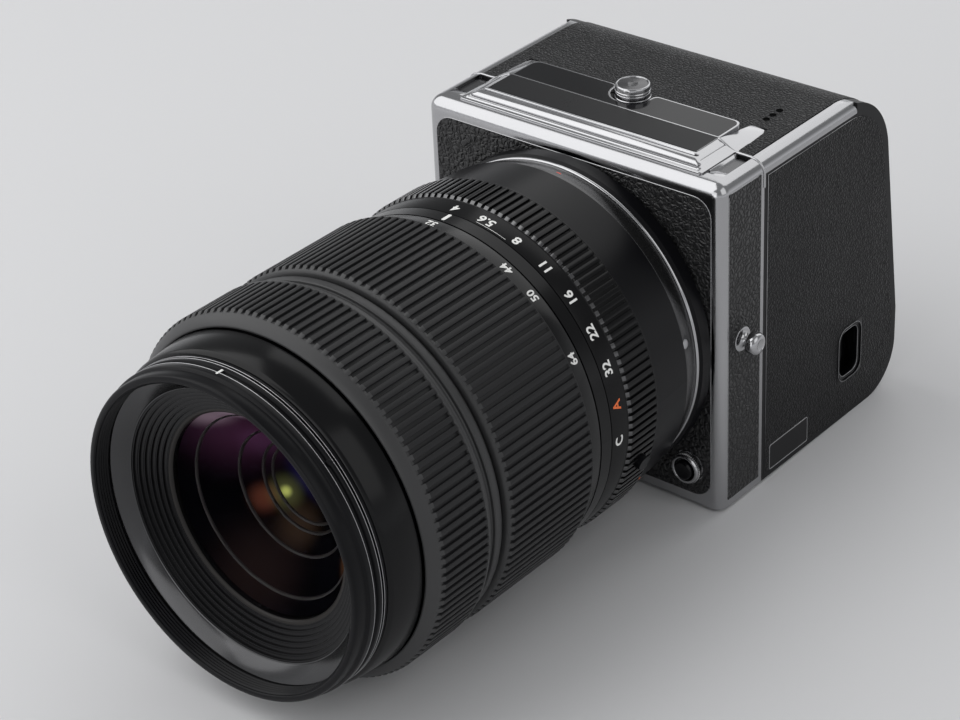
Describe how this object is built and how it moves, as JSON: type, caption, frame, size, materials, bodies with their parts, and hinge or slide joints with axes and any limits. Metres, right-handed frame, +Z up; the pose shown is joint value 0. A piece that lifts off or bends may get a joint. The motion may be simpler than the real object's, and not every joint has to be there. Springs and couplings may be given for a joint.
{
  "type": "modular medium format camera",
  "caption": "Thin chrome camera body with a digital back, an adapter ring and a large zoom lens with ribbed grips.",
  "frame": {"origin": "centre of the tripod socket on the plane of the base plate", "axes": "+Z up, the lens looks along -Y, +X to the right seen from the front"},
  "size_m": [0.1026, 0.2095, 0.0986],
  "materials": {
    "chrome_trim": "polished",
    "black_enamel": "gloss",
    "black_satin": "satin",
    "pebble_leather": "coarse pebble grain",
    "fine_leather": "fine grain",
    "machined_steel": "machined",
    "adapter_black": "satin",
    "barrel_black": "satin",
    "band_black": "gloss",
    "grip_rubber": "ribbed, matte",
    "matte_black": "matte",
    "battery_case": "matte",
    "cell_aluminium": "anodised black",
    "board_green": "lacquered board",
    "sensor_face": "interference tint",
    "screen_face": "gloss",
    "coated_glass": "coated",
    "clear_glass": "clear"
  },
  "bodies": {
    "camera": {"front_housing": "chrome_trim", "roof_molding": "chrome_trim", "roof_plate": "black_enamel", "front_leather": "pebble_leather", "side_leather_right": "pebble_leather", "side_leather_left": "pebble_leather", "base_plate": "black_satin", "tripod_bush": "machined_steel", "strap_lugs": "chrome_trim", "body_mount_ring": "machined_steel", "mount_screws": "machined_steel", "contact_block": "matte_black", "light_chamber": "matte_black", "back_shell": "black_satin", "back_leather_right": "fine_leather", "back_leather_left": "fine_leather", "back_leather_top": "fine_leather", "rail_right": "chrome_trim", "rail_left": "chrome_trim", "roof_tails": "chrome_trim", "roof_rear_plate": "black_enamel", "side_badge": "black_enamel", "port_frame": "black_satin", "port_socket": "matte_black", "sensor_carrier": "cell_aluminium", "image_sensor": "sensor_face", "sensor_glass": "clear_glass", "main_board": "board_green", "card_slots": "matte_black", "screen_hinge_pin": "machined_steel", "adapter_ring": "adapter_black", "lens_mount_ring": "machined_steel", "rear_barrel": "barrel_black", "main_barrel": "band_black", "gap_ring": "barrel_black", "iris_unit": "matte_black", "rear_element": "clear_glass"},
    "control_wheel": {"control_wheel": "chrome_trim"},
    "shutter": {"shutter_button": "chrome_trim"},
    "lens_release": {"lens_release_button": "chrome_trim"},
    "knob": {"release_knob": "chrome_trim"},
    "battery": {"battery": "battery_case"},
    "battery_latch": {"battery_latch": "matte_black"},
    "card_door": {"card_door": "fine_leather"},
    "screen": {"screen_frame": "black_satin", "screen_glass": "screen_face"},
    "key_1": {"rear_key_1": "black_satin"},
    "key_2": {"rear_key_2": "black_satin"},
    "key_3": {"rear_key_3": "black_satin"},
    "key_4": {"rear_key_4": "black_satin"},
    "key_5": {"rear_key_5": "black_satin"},
    "aperture": {"aperture_ring": "band_black"},
    "aperture_lock": {"aperture_lock_button": "barrel_black"},
    "zoom": {"zoom_ring": "grip_rubber"},
    "focus": {"focus_ring": "grip_rubber"},
    "front_group": {"front_barrel": "barrel_black", "front_baffle": "matte_black", "front_element": "coated_glass", "optics_cell": "cell_aluminium", "inner_elements": "clear_glass"}
  },
  "joints": [
    {"name": "zoom_turn", "type": "hinge", "parent": "camera", "child": "zoom", "pos_m": [0, -0.074, 0.0442], "axis": [0, -1, 0], "range_deg": [0, 61]},
    {"name": "front_extend", "type": "slide", "parent": "camera", "child": "front_group", "axis": [0, -1, 0], "range_m": [0, 0.0295]},
    {"name": "focus_turn", "type": "hinge", "parent": "camera", "child": "focus", "pos_m": [0, -0.107, 0.0442], "axis": [0, -1, 0], "continuous": true},
    {"name": "aperture_turn", "type": "hinge", "parent": "camera", "child": "aperture", "pos_m": [0, -0.044, 0.0442], "axis": [0, -1, 0], "range_deg": [0, 95]},
    {"name": "aperture_lock_press", "type": "slide", "parent": "aperture", "child": "aperture_lock", "axis": [-0.9563, 0, 0.2924], "range_m": [0, 0.0007], "stiffness_N_per_m": 250, "springref_m": -0.001},
    {"name": "wheel_turn", "type": "hinge", "parent": "camera", "child": "control_wheel", "pos_m": [0.0357, -0.01, 0.0102], "axis": [0, -1, 0], "continuous": true},
    {"name": "shutter_press", "type": "slide", "parent": "camera", "child": "shutter", "axis": [0, 1, 0], "range_m": [0, 0.0008], "stiffness_N_per_m": 250, "springref_m": -0.001},
    {"name": "lens_release_press", "type": "slide", "parent": "camera", "child": "lens_release", "axis": [0, 1, 0], "range_m": [0, 0.0012], "stiffness_N_per_m": 250, "springref_m": -0.001},
    {"name": "knob_press", "type": "slide", "parent": "camera", "child": "knob", "axis": [0, 0, -1], "range_m": [0, 0.001], "stiffness_N_per_m": 250, "springref_m": -0.001},
    {"name": "screen_tilt", "type": "hinge", "parent": "camera", "child": "screen", "pos_m": [0, 0.06294, 0.06898], "axis": [1, 0, 0], "range_deg": [0, 90]},
    {"name": "battery_slide", "type": "slide", "parent": "camera", "child": "battery", "axis": [0, 0, -1], "range_m": [0, 0.046]},
    {"name": "latch_slide", "type": "slide", "parent": "camera", "child": "battery_latch", "axis": [1, 0, 0], "range_m": [0, 0.002]},
    {"name": "card_door_turn", "type": "hinge", "parent": "camera", "child": "card_door", "pos_m": [-0.0445, 0.0308, 0.062], "axis": [0, 0, 1], "range_deg": [0, 100]},
    {"name": "key_1_press", "type": "slide", "parent": "camera", "child": "key_1", "axis": [0, -1, 0], "range_m": [0, 0.0004], "stiffness_N_per_m": 250, "springref_m": -0.001},
    {"name": "key_2_press", "type": "slide", "parent": "camera", "child": "key_2", "axis": [0, -1, 0], "range_m": [0, 0.0004], "stiffness_N_per_m": 250, "springref_m": -0.001},
    {"name": "key_3_press", "type": "slide", "parent": "camera", "child": "key_3", "axis": [0, -1, 0], "range_m": [0, 0.0004], "stiffness_N_per_m": 250, "springref_m": -0.001},
    {"name": "key_4_press", "type": "slide", "parent": "camera", "child": "key_4", "axis": [0, -1, 0], "range_m": [0, 0.0004], "stiffness_N_per_m": 250, "springref_m": -0.001},
    {"name": "key_5_press", "type": "slide", "parent": "camera", "child": "key_5", "axis": [0, -1, 0], "range_m": [0, 0.0004], "stiffness_N_per_m": 250, "springref_m": -0.001}
  ],
  "couplings": [
    {"joint": "zoom_turn", "follows": "front_extend", "rad_per_m": 36.089}
  ]
}
